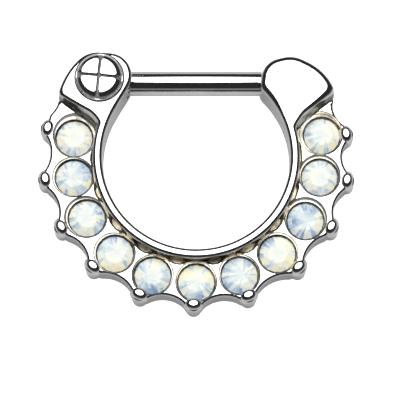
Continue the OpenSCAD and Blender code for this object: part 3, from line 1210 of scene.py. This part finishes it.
def cut_stone(name, at, turn, number, opal_row, tints):
    """A stone in its seat. Its glass reads each corner's place within the stone and how much
    bluer it is there, and the tint of each facet."""
    blue, bearing, lean = opal_row
    c, s = math.cos(turn), math.sin(turn)
    place = [(at[0] + c * x - s * y, at[1] + s * x + c * y, GIRDLE_Z + z) for x, y, z in CORNERS]
    stone = solid(name, place, FACETS)
    cut = [(x / STONE_R, y / STONE_R, z / 10 + 0.5 + number) for x, y, z in CORNERS]
    way = math.radians(bearing) - turn
    bluer = [blue + lean * (x * math.cos(way) + y * math.sin(way)) / STONE_R for x, y, _ in CORNERS]
    attribute(stone.data, "cut", "FLOAT_VECTOR", cut)
    attribute(stone.data, "tint", "FLOAT", tints, "FACE")
    attribute(stone.data, "blue", "FLOAT", bluer)
    stone.data.materials.append(opal)
    return stone


# One row a stone, from the left head round to the right head: how much bluer than the rest
# it is, and towards which bearing in degrees and how far it grows bluer still
OPALS = [
    (-0.03, 170, 0.12),
    (0.06, 110, 0.12),
    (-0.04, 0, 0.05),
    (-0.03, 100, 0.2),
    (0.05, 230, 0.2),
    (0.0, 270, 0.12),
    (0.07, 180, 0.18),
    (-0.05, 120, 0.12),
    (0.15, 200, 0.14),
    (-0.02, 90, 0.06),
    (0.02, 200, 0.14),
]
TABLE_TINT = 0.5
luck = random.Random(11)
for number, (name, at, opal_row) in enumerate(zip(STONES, STONE_AT, OPALS)):
    turn = luck.uniform(0, math.pi / 4)
    tints = [TABLE_TINT] + [luck.random() for _ in FACETS[1:]]
    gem = cut_stone("gem_" + name[-2:], at, turn, number, opal_row, tints)
    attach(gem, "ring")
    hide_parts(name)


# Studio

FLOOR_HALF = 0.4
# The one large soft light: its distance, how far it leans from straight overhead towards +Y,
# half of the angle that it fills as seen from the ring, and its power
LIGHT_AWAY = 0.3
LIGHT_TILT = 24.5
LIGHT_HALF_ANGLE = 27.5
LIGHT_POWER = 1.0
# The room's tones by height, from the floor up
DARK = (0.035, 0.035, 0.035)
FOOT = [(0.0, (0.25, 0.25, 0.25)), (0.06, (0.2, 0.2, 0.2))]
ROOM = FOOT + [(0.12, DARK), (1.0, DARK)]
WALL = (0.35, 0.35, 0.35)
BACK_WALL = FOOT + [(0.12, DARK), (0.25, DARK), (0.29, WALL), (0.45, WALL), (0.5, DARK)]
SIDE_WALLS = FOOT + [(0.34, FOOT[1][1]), (0.42, DARK)]


def lay_floor():
    h = FLOOR_HALF
    mesh = bpy.data.meshes.new("floor")
    mesh.from_pydata([(-h, -h, 0), (h, -h, 0), (h, h, 0), (-h, h, 0)], [], [[0, 1, 2, 3]])
    made = in_scene("floor", mesh)
    made.data.materials.append(plain_floor())


def aim(thing, at, target):
    """Puts a lamp or the camera at a place, looking at the target."""
    thing.location = at
    thing.rotation_mode = "QUATERNION"
    thing.rotation_quaternion = (Vector(target) - Vector(at)).to_track_quat("-Z", "Y")


def overhead_light():
    lamp = bpy.data.lights.new("overhead", "AREA")
    lamp.shape = "DISK"
    lamp.size = 2 * LIGHT_AWAY * math.tan(math.radians(LIGHT_HALF_ANGLE))
    lamp.energy = LIGHT_POWER
    tilt = math.radians(LIGHT_TILT)
    at = (0, LIGHT_AWAY * math.sin(tilt), LIGHT_AWAY * math.cos(tilt))
    aim(in_scene("overhead", lamp), at, (0, 0, 0))


def studio_air():
    """The dim room round the light, with a paler foot, paler side walls and a paler wall
    behind the camera. Looked at directly it is white."""
    world = bpy.data.worlds.new("studio")
    bpy.context.scene.world = world
    world.use_nodes = True
    tree = world.node_tree
    way = node(tree, "SeparateXYZ", Vector=node(tree, "TexCoord").outputs["Generated"]).outputs
    room, back, sides = (ramp(tree, way["Z"], tones) for tones in (ROOM, BACK_WALL, SIDE_WALLS))
    back_share = remap(tree, way["Y"], -0.3, -0.5)
    side_share = remap(tree, calc(tree, "ABSOLUTE", way["X"]), 0.6, 0.75)
    walls = blended(tree, side_share, blended(tree, back_share, room, back), sides)
    seen = node(tree, "LightPath").outputs["Is Camera Ray"]
    tree.links.new(blended(tree, seen, walls, (1, 1, 1, 1)), tree.nodes["Background"].inputs["Color"])


lay_floor()
studio_air()
overhead_light()

# Camera: straight on from 78 degrees above the floor
AIM = (0.00018, -0.00078, 0.0012)
CAMERA_HIGH = math.radians(78)
CAMERA_AWAY = 0.125
VIEW_ANGLE = math.radians(8.78)
camera = in_scene("camera", bpy.data.cameras.new("camera"))
camera.data.lens = camera.data.sensor_width / 2 / math.tan(VIEW_ANGLE / 2)
camera.data.clip_start = 0.01
camera.data.clip_end = 10
camera_back = CAMERA_AWAY * math.cos(CAMERA_HIGH)
camera_up = CAMERA_AWAY * math.sin(CAMERA_HIGH)
aim(camera, (AIM[0], AIM[1] - camera_back, AIM[2] + camera_up), AIM)
bpy.context.scene.camera = camera
bpy.context.scene.view_settings.view_transform = "Standard"
